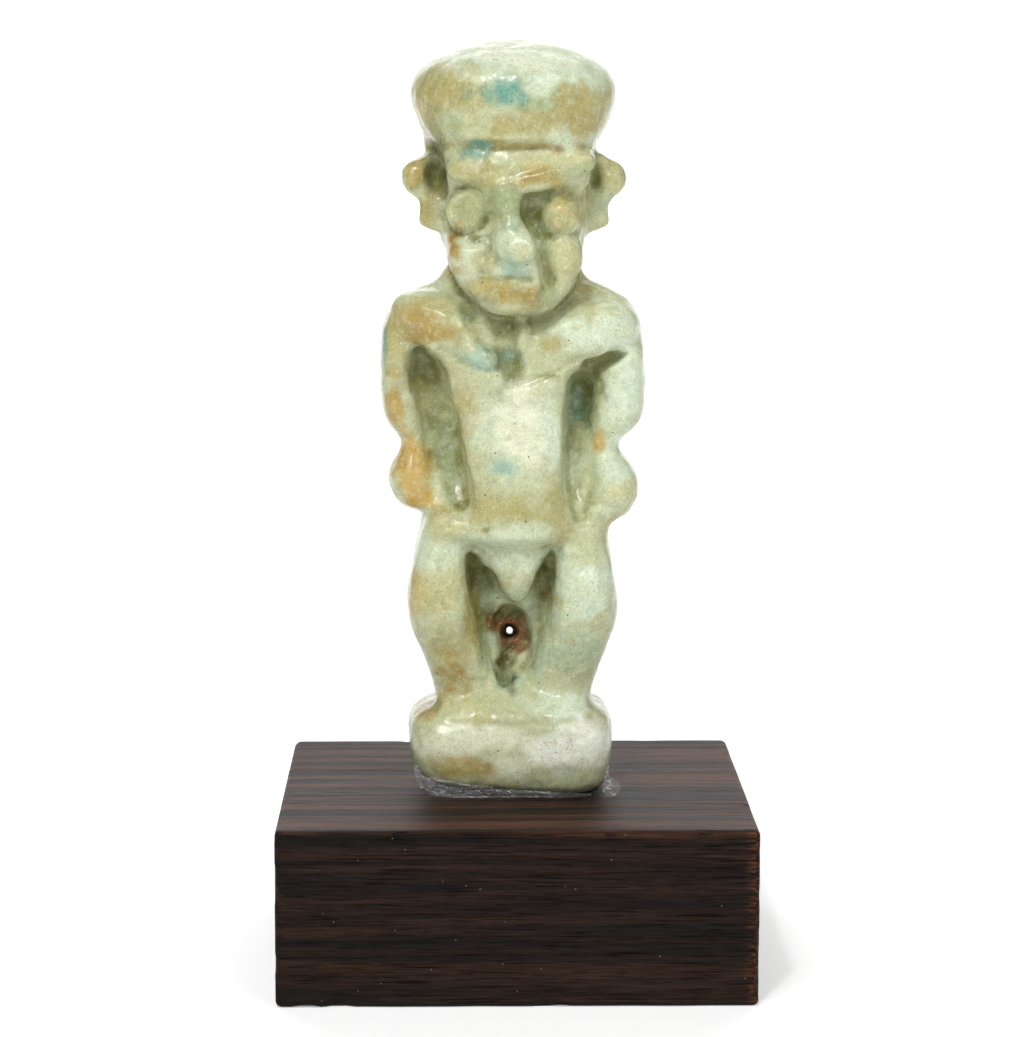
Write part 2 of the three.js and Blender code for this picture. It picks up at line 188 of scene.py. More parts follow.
class Carving(Surface):
    """Work on the figure's front. All is in squares: x to the right, z up from the soles, and
    levels y, which are the more negative the further they stand out."""

    def __init__(self, piece):
        super().__init__(piece)
        self.x = self.at[:, 0] / SQUARE
        self.y = self.at[:, 1] / SQUARE
        self.z = (self.at[:, 2] - SOLES) / SQUARE
        self.facing = soft(-self.normal[:, 1], -0.15, 0.2) * soft(1.0 - self.y, 0, 1.5)

    def nearest(self, line):
        """Distance from a line as a share of its width, its level there, and the point's side."""
        share, level, side = (np.full(len(self.x), v) for v in (9.0, 0.0, 0.0))
        for start, end in zip(line, line[1:]):
            dx, dz = end[:2] - start[:2]
            off_x, off_z = self.x - start[0], self.z - start[1]
            t = np.clip((off_x * dx + off_z * dz) / (dx * dx + dz * dz + 1e-9), 0, 1)
            width = start[2] + t * (end[2] - start[2])
            here = np.hypot(off_x - t * dx, off_z - t * dz) / width
            closer = here < share
            share = np.where(closer, here, share)
            level = np.where(closer, start[3] + t * (end[3] - start[3]), level)
            side = np.where(closer, np.sign(dx * off_z - dz * off_x), side)
        return share, level, side

    def shape(self, points, sign, drop, square, blend, front=-99):
        share, level, _ = self.nearest(smooth_line(points))
        inside = (share < 1) & (self.y > front)
        bow = (1 - np.clip(share, 0, 1) ** square) ** (1 / square)
        target = level - sign * drop * (1 - bow)
        gap = (target - self.y) * sign
        mixed = np.clip(0.5 + 0.5 * gap / blend, 0, 1)
        moved = self.y + (target - self.y) * mixed + sign * blend * mixed * (1 - mixed)
        move = np.where(inside & (gap > -blend), moved - self.y, 0)
        self.y += move * self.facing * soft(1 - share, 0, 0.12)

    def build(self, *points, drop=2.0, square=2.0, blend=0.4):
        """Raises a rounded ridge along points of x, z, half width and level of its crest."""
        self.shape(points, -1, drop, square, blend)

    def cut(self, *points, drop=2.0, square=2.0, blend=0.4, front=-99):
        """Cuts a rounded trough along points of x, z, half width and level of its floor, but
        spares what stands further out than front."""
        self.shape(points, 1, drop, square, blend, front)

    def score(self, width, depth, *points):
        """Scores a groove of one width and depth along points of x and z."""
        line = smooth_line([(x, z, width, 0) for x, z in points])
        share, _, _ = self.nearest(line)
        self.y += depth * soft(1 - share, 0, 1) * self.facing

    def step(self, width, height, *points, sharp=0.4):
        """Raises the left side of a line in a sharp step that dies away over a width."""
        line = smooth_line([(x, z, width, 0) for x, z in points])
        share, _, side = self.nearest(line)
        rise = soft(share * side * width, -sharp / 2, sharp / 2) * soft(1 - share, 0, 1)
        self.y -= height * rise * self.facing

    def store(self):
        self.at[:, 1] = self.y * SQUARE
        super().store()


def arc(x, z, radius, start, end):
    """Points on part of a circle, from one angle to another in degrees."""
    angles = np.radians(np.linspace(start, end, 9))
    return [(x + radius * math.cos(a), z + radius * math.sin(a)) for a in angles]


WORN_TIP = -14.7  # level past which the nose's tip is worn away


def carve_head(c):
    # The cap's rim, with a groove under it, and the corner that runs down its left side
    c.score(1.7, -0.4, (-9.6, 86.2), (-4, 85.8), (2, 85.7), (6.4, 86))
    c.score(1.2, 0.55, (-9.6, 84.7), (-6, 84.3), (-1, 84.0), (5, 84.4))
    c.step(3.6, -1.2, (-10.2, 79), (-10.6, 82.5), (-12, 85), (-13.6, 88), (-14.8, 91))
    # Pits inside the ears
    c.cut((-10.3, 76.8, 0.6, -4.2), (-10.8, 79.6, 0.9, -2.4), (-11.4, 83.2, 0.9, -2.8), drop=3)
    c.cut((11.0, 78.4, 0.7, -4.8), (11.3, 81.6, 0.8, -4.9), drop=1.4)
    c.score(0.8, 0.6, (12.8, 81.4), (13.9, 81.5), (14.4, 80.6))
    c.score(0.6, 0.4, (-14.6, 81.2), (-13.8, 79.0), (-14.4, 77.4))
    # The socket right of the nose, the brow that hangs over it, and the eye in it
    c.cut((3.4, 77.0, 1.6, -8.6), (8.4, 77.6, 1.4, -8.8), drop=2.5)
    c.cut(
        (2.4, 76.4, 1.6, -8.4), (2.9, 73.6, 2.1, -8.0), (4.1, 71.0, 1.8, -8.8),
        (4.7, 68.2, 1.3, -9.6), (4.9, 65.6, 1.1, -10.3), (6.2, 63.7, 0.9, -10.8), drop=2.5,
    )
    c.cut((4.0, 71.5, 1.4, -9.0), (8.4, 71.5, 1.1, -9.6), drop=2)
    c.build((6.6, 74.0, 2.8, -11.7), (6.8, 74.2, 2.8, -11.7), drop=2.6)
    c.build((5.6, 77.0, 0.6, -9.9), (7.8, 77.5, 0.5, -9.9), drop=1.2)
    c.build(
        (0.4, 79.0, 1.5, -12.0), (3.0, 79.2, 1.6, -12.0), (5.5, 80.0, 1.8, -11.9),
        (8.0, 80.8, 1.8, -11.4), (10.2, 82.0, 1.7, -10.4), drop=2.6, square=3.2,
    )
    # The flat left eye, its rim and the hollow beside the nose
    c.cut((-3.8, 76.8, 1.0, -10.3), (-3.7, 74.2, 1.2, -10.0), (-4.5, 71.4, 1.3, -10.2), drop=1.2)
    c.score(0.9, 0.5, (-10.2, 77.6), (-8.4, 78.4), (-5.2, 78.0))
    c.build((-7.3, 74.9, 2.9, -11.0), (-7.1, 75.0, 2.9, -11.0), drop=0.9, square=4)
    c.score(0.8, 1.0, *arc(-7.2, 74.9, 3.3, 185, 345))
    c.score(0.5, 0.4, *arc(-7.2, 74.9, 3.1, 20, 150))
    c.cut((-8.4, 70.9, 0.9, -10.0), (-6.4, 70.6, 1.1, -9.8), (-4.4, 71.4, 1.0, -9.8), drop=1.2)
    c.cut((-3.3, 72.4, 0.9, -10.2), (-3.9, 69.8, 1.0, -10.4), (-4.8, 67.8, 0.7, -10.9), drop=1.2)
    c.score(1.2, -0.5, (-9.4, 79.6), (-6.4, 80.0), (-3.4, 79.2), (-1.2, 77.8))
    # The nose and its worn tip
    c.build(
        (-1.5, 78.6, 2.3, -11.9), (-1.5, 76.2, 2.2, -12.2), (-0.9, 74.2, 1.6, -12.6),
        (-0.6, 72.4, 2.2, -13.5), (-0.2, 70.8, 2.8, -14.6), (0.3, 69.6, 3.0, -15.4), drop=3.2,
    )
    c.y = np.where(c.y < WORN_TIP, WORN_TIP + 0.12 * (c.y - WORN_TIP), c.y)
    c.score(0.5, 0.35, *arc(0.3, 69.2, 2.3, 100, 330))
    # Lips, chin and cheeks
    c.build((-3.6, 66.9, 1.6, -12.2), (0, 66.8, 1.9, -12.8), (2.2, 66.6, 1.5, -12.6), drop=1.6)
    c.build((-2.4, 63.4, 2.2, -12.2), (2.8, 63.4, 2.2, -12.2), drop=2)
    c.step(2.4, 1.0, (3.0, 62.4), (3.8, 64.5), (3.5, 66.5), (3.2, 69), (2.9, 71.5))
    c.score(0.7, 0.55, (-5.0, 66.4), (-3.6, 65.9), (-1.5, 65.4), (0.5, 65.2), (2.6, 65.3))
    c.score(0.5, 0.35, (-5.4, 68.2), (-4.6, 67.3), (-3.7, 66.4))
    c.score(0.4, 0.25, (-9.6, 76.7), (-8.4, 76.2), (-7.6, 75.4))
    c.build((6.9, 69.4, 2.3, -11.3), (7.1, 67.6, 2.3, -11.3), drop=1.8)


def carve_body(c):
    # The broad hollow left of the breastbone, and the groove in it with its sharp right side
    c.cut(
        (-6.0, 61.0, 2.6, -6.8), (-4.0, 58.6, 3.4, -7.2), (-2.6, 55.8, 3.0, -7.8),
        (-1.6, 52.8, 2.4, -8.6), (-0.8, 50.4, 1.8, -9.2), drop=2.4, blend=1.2, front=-10.2,
    )
    c.cut(
        (-3.2, 60.0, 1.6, -6.6), (-2.0, 57.4, 1.9, -7.0), (-1.1, 54.6, 1.8, -7.4),
        (-0.5, 51.6, 1.5, -8.0), (0.0, 49.0, 1.0, -8.8), drop=2.0, square=1.6, blend=0.9, front=-10.2,
    )
    c.build((-1.6, 60.0, 2.4, -7.3), (-0.9, 56.0, 2.2, -7.7), (-0.4, 52.0, 1.6, -8.4), drop=1.2)
    c.build((0.9, 59.4, 0.9, -8.3), (1.2, 56.4, 0.9, -8.6), (1.1, 52.6, 0.8, -9.0), drop=0.9)
    # Breasts and shoulders
    c.step(
        4, 0.6, (-3, 51.4), (-6.5, 51.7), (-9, 53), (-11, 54.4), (-12.8, 55.7), (-14.5, 56),
        (-15.8, 54.8),
    )
    c.step(5, 0.8, (17.4, 54.6), (12.5, 53.8), (9.5, 52.6), (7, 51.5), (5, 50.4), (3.2, 49.7))
    c.build((-6.2, 54.2, 1.5, -10.2), (-3.9, 53.1, 1.7, -10.6), drop=1.6)
    c.score(1.7, -0.45, (-13.6, 60.9), (-9.4, 59.2), (-6.6, 57.2))
    c.score(1.7, -0.45, (5.2, 57.4), (9, 59.3), (13.4, 60.8))
    c.cut((11.2, 51.8, 1.5, -3.0), (14.2, 53.0, 1.2, -3.6), (17.0, 53.9, 0.5, -5.6), drop=2)
    # The belly's edges, and the troughs between it and the arms
    c.cut(
        (-13.9, 53.8, 1.3, -1.4), (-13.0, 50.0, 2.1, -1.0), (-11.4, 45.2, 2.3, -1.2),
        (-10.1, 40.3, 2.4, -2.0), (-8.9, 35.6, 2.1, -3.2), (-8.1, 32.0, 1.6, -5.0), drop=3, square=4,
    )
    c.cut(
        (9.9, 48.0, 1.9, -1.2), (9.1, 42.8, 1.7, -1.2), (9.0, 37.8, 1.7, -2.0),
        (9.2, 33.2, 1.5, -3.6), (9.5, 29.6, 1.2, -5.8), drop=3, square=3,
    )
    c.score(0.8, -0.5, (-10.2, 52), (-9.0, 47), (-7.7, 42), (-6.5, 37.4), (-5.9, 33), (-5.6, 30))
    c.score(0.8, -0.4, (7.5, 50), (7.0, 46), (6.8, 42), (6.7, 38), (6.8, 31))
    # Pits and chips
    for x, z, width, depth in [
        (-1.6, 37.2, 0.5, 0.5), (-0.8, 36.4, 0.4, 0.3), (-2.2, 36.3, 0.35, 0.3), (-3.8, 34.4, 0.6, 0.4),
        (-4.3, 28.2, 0.7, 0.5), (-5.4, 29.0, 0.5, 0.3), (-8.5, 52.3, 0.5, 0.5), (6.2, 83.9, 0.6, 0.35),
        (-10.2, 28.8, 0.7, 0.4), (1.4, 48.2, 0.5, 0.25), (9.9, 21.6, 0.35, 0.3), (3.4, -9.4, 0.6, 0.4),
    ]:
        c.score(width, depth, (x, z), (x + 0.1, z + 0.1))
    # The tip under the right fist and the notch between hem and left fist
    c.build((11.6, 27.8, 0.9, -6.4), (12.0, 30.0, 1.4, -6.8), drop=1.4)
    c.score(0.8, 0.6, (-14.2, 30.2), (-12.4, 29.9), (-10.8, 30.6))


def carve_legs(c):
    # Grooves beside the kilt's point, and the rough hollow under it
    c.cut(
        (-6.6, 23.8, 0.6, -4.4), (-5.9, 21.8, 1.4, -3.0), (-5.1, 18, 1.5, -1.9), (-4.3, 14, 1.4, -1.4),
        (-3.2, 10, 1.4, -1.2), (-1.8, 7, 1.4, -1.6), drop=2, square=3,
    )
    c.cut(
        (5.6, 24.2, 0.6, -4.6), (5.0, 22.0, 1.1, -3.2), (4.2, 18, 1.4, -2.0), (3.2, 14, 1.2, -1.5),
        (2.2, 10, 1.2, -1.3), (0.8, 7.2, 1.2, -1.6), drop=2, square=3,
    )
    c.score(0.6, -0.35, (-5.4, 24.4), (-3, 19.5), (-0.6, 16.6), (1.2, 17.2), (2.8, 20.2), (4.4, 24.4))
    c.cut((-0.4, 13.2, 2.7, 0.8), (0.1, 10.8, 2.9, 1.0), drop=1.4)
    c.cut((-0.9, 9.2, 1.8, 0.8), (-1.2, 6.8, 1.5, -0.2), (-1.5, 5.0, 0.9, -1.4), drop=1.6)
    # The ledges beside the feet
    c.cut((-13.4, 2.0, 1.2, -5.4), (-12.4, 1.4, 1.0, -6.6), drop=1.4)
    c.cut((13.0, 2.6, 0.9, -5.4), (12.6, 1.6, 0.8, -6.6), drop=1.2)
    c.score(0.8, 0.25, (-10, -0.6), (-4, -0.9), (3, -0.8), (9, -0.5))


# The solid's facets are rubbed smooth, but hardly on the face, whose edges stay
CHIN, CAP_RIM, FADE = 59, 84, 3  # heights in squares, and how softly the face's part ends
amulet = copy_of_node("faience_amulet", "amulet")
modify(amulet, "REMESH", mode="VOXEL", voxel_size=SKIN)
pressed = Surface(amulet)
height = (pressed.at[:, 2] - SOLES) / SQUARE
on_face = soft(height, CHIN, CHIN + FADE) * (1 - soft(height, CAP_RIM, CAP_RIM + FADE))
pressed.at = pressed.relaxed(30, 1 - 0.92 * on_face)
pressed.store()
carving = Carving(amulet)
carve_head(carving)
carve_body(carving)
carve_legs(carving)
carving.store()
modify(amulet, "REMESH", mode="VOXEL", voxel_size=SKIN)
modify(amulet, "SMOOTH", factor=0.5, iterations=2)


def ripple(piece, name, size, strength):
    """A shallow random relief, as of hand-pressed clay or of glue that ran."""
    texture = bpy.data.textures.new(name, "CLOUDS")
    texture.noise_scale = size
    texture.noise_depth = 1
    modify(piece, "DISPLACE", texture=texture, strength=strength, mid_level=0.5,
           texture_coords="LOCAL")


def bore(piece, start, end, wide, narrow):
    """Opens a tapering hole between two places in squares, with its half widths in millimetres."""
    ends = [Vector(place) * SQUARE + Vector((0, 0, SOLES)) for place in (start, end)]
    way = ends[1] - ends[0]
    bpy.ops.object.select_all(action="DESELECT")
    bpy.ops.mesh.primitive_cone_add(
        vertices=20, radius1=wide, radius2=narrow, depth=way.length,
        location=(ends[0] + ends[1]) / 2, rotation=way.to_track_quat("Z", "Y").to_euler(),
    )
    cone = bpy.context.object
    modify(piece, "BOOLEAN", object=cone, operation="DIFFERENCE", solver="EXACT")
    bpy.data.objects.remove(cone)


# A pinprick of light shows through the hollow between the legs
bore(amulet, (-0.7, -2, 12.0), (-0.5, 11, 9.9), 0.36, 0.15)
ripple(amulet, "pressed clay", 2.4, 0.20)
ripple(amulet, "worn glaze", 0.8, 0.07)
ripple(amulet, "grain", 0.33, 0.03)

# The head sinks a little, because the relief has raised its crown
EARS, CROWN = 44, 49.4  # heights of the ears and of the crown
RAISED = 0.08
settled = Surface(amulet)
settled.at[:, 2] -= RAISED * soft(settled.at[:, 2], EARS, CROWN)
settled.store()

# The glaze's colours, painted on the skin: a greenish cream ground, mint where it is thick, ochre
# and tan where the glaze has gone, turquoise where its first colour is left, dirt and painted shade
# in the hollows and under overhangs, and painted highlight on the heights.
GLAZES = {
    "milk": (0.95, 0.98, 0.86),
    "pale": (0.82, 0.84, 0.63),
    "mint": (0.68, 0.79, 0.60),
    "bone": (0.53, 0.56, 0.33),
    "cream": (0.59, 0.575, 0.30),
    "sage": (0.34, 0.40, 0.21),
    "sand": (0.44, 0.39, 0.155),
    "amber": (0.59, 0.37, 0.085),
    "tan": (0.38, 0.27, 0.06),
    "ochre": (0.43, 0.25, 0.035),
    # olive, peat and slate also serve as painted shade, in hollows and under overhangs
    "olive": (0.16, 0.165, 0.032),
    "peat": (0.055, 0.046, 0.010),
    "turquoise": (0.14, 0.36, 0.28),
    "sea": (0.38, 0.56, 0.43),
    "slate": (0.14, 0.19, 0.11),
    "rust": (0.22, 0.085, 0.032),
}

# Each patch: colour, strength, middle x and z, half width and half height in squares
PATCHES = [
    # Cap
    ("mint", 0.95, 0, 98, 17, 3.6), ("milk", 0.45, -6, 97.5, 8, 2), ("mint", 0.8, 9, 94, 6, 3),
    ("pale", 0.7, 4, 97.8, 11, 2.2), ("sand", 0.9, -11, 92, 4, 3.6), ("sand", 0.6, -6, 91, 5, 3),
    ("sage", 0.85, 4, 90, 5, 2.4), ("sand", 0.9, 11, 90, 3.4, 3.6), ("tan", 0.5, 10.5, 87.6, 3, 2),
    ("sand", 0.9, -12.8, 88, 2.4, 5), ("sage", 0.7, -9, 87.8, 2.6, 2),
    ("olive", 0.4, -12.4, 85.6, 1.3, 3.2), ("sand", 0.85, 2, 87.8, 8, 2.2),
    ("turquoise", 0.95, -1.6, 92.2, 3.4, 2.6), ("turquoise", 0.4, -3.0, 90.6, 1.8, 1.4),
    ("tan", 0.75, -1, 84.3, 9, 0.9), ("slate", 0.85, -5.8, 83.7, 2.4, 1.4),
    ("turquoise", 1.0, -5.7, 83.4, 2.2, 1.5),
    # Forehead and ears
    ("sand", 0.9, -3.5, 80.9, 6.4, 2.0), ("cream", 0.7, 6, 82.6, 4.4, 1.3),
    ("rust", 0.6, 6.2, 83.9, 1.1, 0.7), ("tan", 0.85, 3.2, 79.4, 3.8, 1.3),
    ("sage", 0.6, 8.5, 80.6, 2.0, 1.2), ("tan", 0.9, -15, 79.5, 2.4, 4),
    # The slate and the peat in the left ear's pit are painted shade
    ("slate", 0.7, -11.6, 80.8, 1.5, 3.6), ("peat", 0.8, -10.4, 78.4, 0.8, 2.4),
    ("sand", 0.8, 14.4, 80, 2.6, 3.4), ("sea", 0.6, -16.9, 79.6, 0.9, 1.8),
    ("tan", 0.75, -13, 75, 2, 2.6), ("sea", 0.5, 13.8, 75.6, 0.9, 1.6),
    # The sage beside the right ear is painted shade in the gutter between head and ear
    ("sage", 0.7, 11.4, 79.8, 1.2, 2.4),
    # Eyes and their hollows
    # The two olives under the left eye are a painted shadow crescent
    ("olive", 0.65, -8.6, 72.0, 1.7, 1.0), ("olive", 0.65, -6.2, 71.2, 1.8, 0.9),
    ("sage", 0.9, -7.2, 75, 2.9, 2.7), ("sand", 0.4, -6.6, 75.8, 1.4, 1.0),
    ("sand", 0.9, 6.8, 74.4, 2.8, 2.4), ("amber", 0.4, 6.4, 75.3, 1.6, 1.0),
    # The olives here and on the next line are painted shade in the right socket and painted shadow
    # under its brow
    ("olive", 0.6, 2.5, 74, 1.1, 3.2), ("sea", 0.4, 4.0, 72.6, 1.0, 0.9),
    ("olive", 0.85, 4.6, 71.4, 2.6, 0.9), ("olive", 0.6, 8.6, 76.9, 1.6, 0.7),
    # Nose, mouth and cheeks
    ("sage", 0.9, -1, 75.4, 1.8, 3.4), ("sage", 0.8, -0.8, 72.6, 1.6, 2.0),
    ("turquoise", 0.6, -0.3, 68.2, 2.7, 2.4), ("sea", 0.5, -0.9, 72.8, 1.3, 1.1),
    ("cream", 0.9, 0.5, 69.4, 1.8, 1.8), ("sand", 0.7, -4.4, 67.6, 2.4, 2.4),
    # Both olives here are painted shade: the hollow between the left eye and the muzzle, and beside the
    # nose
    ("olive", 0.5, -6.6, 71.0, 2.6, 0.9), ("olive", 0.35, -3.8, 70, 0.8, 2.2),
    ("sage", 0.8, 4.3, 68, 1.4, 2.6), ("cream", 0.7, 7, 68.6, 2.2, 2.4),
    ("tan", 0.9, -8.8, 69, 1.6, 3.4), ("ochre", 0.8, -8.9, 69.4, 1.1, 2.4),
    # The olive along the mouth is painted shade under the nose and upper lip
    ("sea", 0.7, 0, 66.0, 2.4, 0.8), ("olive", 0.5, -1.6, 65.4, 2.8, 0.4),
    ("tan", 0.9, 0.6, 63, 4.2, 1.9), ("sand", 0.6, 0.2, 64.4, 2.2, 0.8),
    ("sage", 0.85, 5.2, 63, 1.7, 1.6), ("sand", 0.8, -5.4, 63.6, 2.4, 1.4),
    # Shoulders and chest
    ("ochre", 0.8, -14.2, 58.4, 4.8, 2.8), ("sand", 0.9, -18.2, 57, 1.8, 2.6),
    ("tan", 0.85, -9.5, 57, 4.4, 1.9), ("turquoise", 0.8, -19.8, 53, 1.0, 5),
    # The olive here and the slate on the next line, at the neck's left, are painted shadow of the chin
    # and neck
    ("olive", 0.5, -6.6, 59.4, 2.6, 1.3), ("sand", 0.8, -11, 61, 4, 1.4),
    ("sea", 0.9, -5, 53.6, 2.7, 1.8), ("slate", 0.55, -5.6, 60.4, 3.4, 1.8),
    # The olives and slates along the breastbone's groove and at its top are painted shade in it
    ("olive", 0.85, -2.2, 57.6, 2.4, 2.4), ("slate", 0.5, -1.2, 54.4, 2.0, 1.8),
    ("slate", 0.7, -0.8, 52.8, 1.4, 2.2), ("turquoise", 0.4, -0.9, 53.2, 0.8, 0.9),
    ("olive", 0.8, -0.2, 51, 1.4, 1.8), ("slate", 0.4, 2.2, 59, 1.6, 1.2),
    ("sage", 0.7, 4, 58.5, 2.2, 1.6), ("mint", 0.9, 9, 56.8, 4.4, 2.8),
    ("mint", 0.95, 15, 58, 4.6, 3.6), ("sand", 0.85, 5, 55.4, 1.9, 1.2),
    # The olive along the right breast's lower edge is painted shade under its overhang, over the brown
    # line there
    ("olive", 0.7, 5.6, 50.7, 2.0, 0.5), ("cream", 0.4, 12, 60.4, 3.4, 1.0),
    # Arms
    ("sand", 0.8, -17, 52, 2.8, 2.4), ("tan", 0.6, -17.4, 49.4, 2.2, 2.0),
    ("ochre", 0.85, -17.8, 46, 1.9, 2.8), ("amber", 0.85, -15.8, 36.6, 3, 4.6),
    ("ochre", 0.45, -16.6, 38, 1.6, 3), ("amber", 0.9, -14.4, 32.4, 3, 1.7),
    ("mint", 0.95, 17, 49, 3.6, 7), ("mint", 0.9, 15.2, 37.4, 3.4, 4.2),
    ("cream", 0.8, 15.4, 32.8, 3.4, 2.0), ("amber", 0.8, 12.5, 40.4, 1.0, 1.8),
    # Hollows beside the belly
    # The olives here, and the slate right of the belly, are painted shade under the breasts and along
    # the belly's edges
    ("olive", 0.5, -13, 51, 2.2, 3.6), ("olive", 0.6, -11.5, 45.4, 1.5, 4.4),
    ("slate", 0.5, -10.2, 40, 1.8, 4.6), ("sage", 0.85, -9.2, 35.5, 1.8, 3.6),
    ("olive", 0.6, -8.2, 39, 0.5, 5), ("olive", 0.8, 11.2, 49.6, 1.8, 3.4),
    ("slate", 0.85, 10.3, 44.6, 1.3, 3.4), ("turquoise", 0.75, 9, 46, 1.0, 3.8),
    ("mint", 0.6, 9, 37, 1.4, 3.6),
    # Belly and kilt
    ("sage", 0.6, -2, 48.2, 3.2, 1.4), ("sand", 0.5, -7, 46, 2, 4), ("pale", 0.9, 1, 43, 4.6, 5),
    ("mint", 0.8, 5.6, 44, 2.2, 5), ("sea", 0.8, -1.8, 37.3, 2.1, 1.7),
    ("turquoise", 0.3, -1.9, 37.2, 1.1, 0.8), ("mint", 0.5, -8.6, 33.4, 1.5, 2.2),
    ("sand", 0.9, -3, 31, 6, 3), ("sand", 0.8, 4.4, 31, 3.4, 3),
    ("olive", 0.6, -4.2, 28.2, 0.7, 0.6), ("cream", 0.7, -10, 28.5, 2.6, 1.2),
    # Between the legs
    ("sea", 0.55, -3.4, 13.4, 1.8, 6), ("sea", 0.45, 3.2, 11, 1.5, 5),
    # The olives, peats and the slate down the grooves beside the kilt's point are painted shade
    ("olive", 0.6, -5.2, 13.4, 0.6, 5), ("sand", 0.4, -0.5, 21, 2.2, 3),
    ("olive", 0.7, -5.4, 20.6, 1.4, 3.6), ("peat", 0.95, -6.4, 20.6, 0.7, 3.2),
    ("slate", 0.5, -4.4, 17.4, 1.3, 3), ("olive", 0.95, 4.4, 19.0, 1.9, 4.4),
    ("peat", 0.7, 4.5, 21.4, 0.7, 1.8), ("olive", 0.5, 6.2, 15.2, 1.6, 3.6),
    ("tan", 0.7, -6.4, 14.6, 1.2, 4.6), ("olive", 0.95, -3.2, 14.2, 1.5, 2.6),
    ("peat", 0.7, -3.0, 13.2, 1.0, 1.6), ("sea", 0.6, -1.0, 5.0, 2.4, 1.3),
    # The rust is the corroded crust in the hollow under the kilt; the peats in it are painted shade in
    # its depths
    ("rust", 1.0, 0, 11.6, 3.0, 3.5), ("rust", 1.0, 0.4, 11.2, 2.8, 3.0),
    ("peat", 0.8, -0.4, 14.0, 1.8, 1.0), ("peat", 1.0, -1.3, 6.9, 1.6, 2.6),
    ("peat", 0.9, -1.3, 6.6, 1.3, 2.2), ("amber", 0.3, 5.4, 18.6, 0.9, 3.2),
    ("ochre", 0.4, 3.4, 12.6, 0.8, 2.2),
    # Legs and feet
    ("cream", 0.5, -11, 21, 3.6, 3), ("olive", 0.4, -7.6, 12, 0.9, 4),
    ("amber", 0.35, -14.6, 19, 1.4, 3), ("sand", 0.55, -9.2, 10, 3.2, 3.4),
    ("tan", 0.95, -8.5, 6.4, 2.8, 3.4), ("ochre", 0.5, -9.4, 4.4, 1.0, 0.7),
    ("olive", 0.35, -8.4, 5.4, 1.6, 0.9), ("mint", 0.9, 10, 20, 4.4, 4.4),
    ("mint", 0.6, 7, 15, 2.6, 2.4), ("sea", 0.5, 9, 10, 3.4, 4.2), ("sage", 0.5, 9, 8.4, 3.0, 2.0),
    ("cream", 0.8, -6, 1, 4.6, 1.8), ("mint", 0.85, 7, 1.6, 4.4, 1.8),
    # Base
    ("pale", 0.9, -9, -3.2, 4.6, 2.2), ("pale", 0.8, -1, -3.2, 4.4, 2.0),
    ("milk", 0.8, 8.4, -4.2, 5.8, 3.6), ("pale", 0.7, -1, -6.4, 4, 2),
    ("tan", 0.85, -7, -6.8, 4.4, 1.4), ("sage", 0.6, 7, -8, 5, 1.0),
    # The olives on the ledges beside the feet are painted shade in their scooped hollows
    ("olive", 1.0, -14.6, 1.4, 2.4, 1.5), ("tan", 0.75, -13.6, 0.2, 1.8, 1.0),
    ("olive", 0.9, 14.4, 1.6, 2.4, 1.5), ("slate", 0.95, -16.6, -3.4, 1.1, 4.4),
    ("turquoise", 0.4, -16.4, -2, 0.8, 2), ("slate", 0.6, 3.6, -9.6, 1.8, 0.9),
]


def paint_glaze_and_shade(piece):
    surface = Surface(piece)
    x, y, z = surface.at[:, 0] / SQUARE, surface.at[:, 1], (surface.at[:, 2] - SOLES) / SQUARE
    broad = cloud(surface.at, 3.2, 11)
    middle = cloud(surface.at, 1.3, 12)
    fine = cloud(surface.at, 0.5, 13)
    ragged = 1.3 * (middle - 0.5) + 0.9 * (fine - 0.5)
    colour = np.tile(GLAZES["bone"], (len(x), 1))

    def mix(name, share):
        colour[:] += (np.array(GLAZES[name]) - colour) * np.clip(share, 0, 1)[:, None]

    # The ground, clouded with mint and sand
    mix("mint", 0.6 * soft(broad, 0.45, 0.8))
    mix("sand", 0.6 * soft(0.6 * middle + 0.4 * cloud(surface.at, 2.0, 14), 0.5, 0.8))
    # The patches, ragged at their edges, and none far back
    front = soft(4.5 - y, 0, 3.0)
    uneven = 0.78 + 0.22 * soft(cloud(surface.at, 0.42, 15), 0.25, 0.6)
    for name, strength, px, pz, half_width, half_height in PATCHES:
        gap = np.hypot((x - px) / half_width, (z - pz) / half_height)
        mix(name, strength * front * uneven * soft(1.45 - gap + ragged, 0, 1.0))
    # Dirt and painted shade in the hollows and creases, and painted highlight on the heights
    deep = np.einsum("ij,ij->i", surface.relaxed(60) - surface.at, surface.normal)
    crease = np.einsum("ij,ij->i", surface.relaxed(12) - surface.at, surface.normal)
    mix("olive", 0.6 * soft(deep, 0.06, 0.32))
    mix("olive", 0.4 * soft(crease, 0.012, 0.06))
    mix("peat", 0.5 * soft(deep, 0.25, 0.6))
    mix("cream", 0.3 * soft(-deep, 0.05, 0.3))
    layer = piece.data.color_attributes.new("glaze", "FLOAT_COLOR", "POINT")
    layer.data.foreach_set("color", np.c_[colour, np.ones(len(x))].astype(np.float32).ravel())


paint_glaze_and_shade(amulet)


class Wire:
    """One output of a material's nodes. Sums, differences and products add Math nodes."""

    def __init__(self, material, socket):
        self.material, self.socket = material, socket

    def math(self, operation, *values):
        return self.material.add("ShaderNodeMath", {"operation": operation}, dict(enumerate(values)))

    def __add__(self, other):
        return self.math("ADD", self, other)

    def __sub__(self, other):
        return self.math("SUBTRACT", self, other)

    def __rsub__(self, other):
        return self.math("SUBTRACT", other, self)

    def __mul__(self, other):
        return self.math("MULTIPLY", self, other)

    __radd__, __rmul__ = __add__, __mul__

    def ramp(self, low, high):
        """0 below low and 1 above high, with a smooth rise."""
        settings = {"interpolation_type": "SMOOTHSTEP"}
        sockets = {"Value": self, "From Min": low, "From Max": high}
        return self.material.add("ShaderNodeMapRange", settings, sockets)


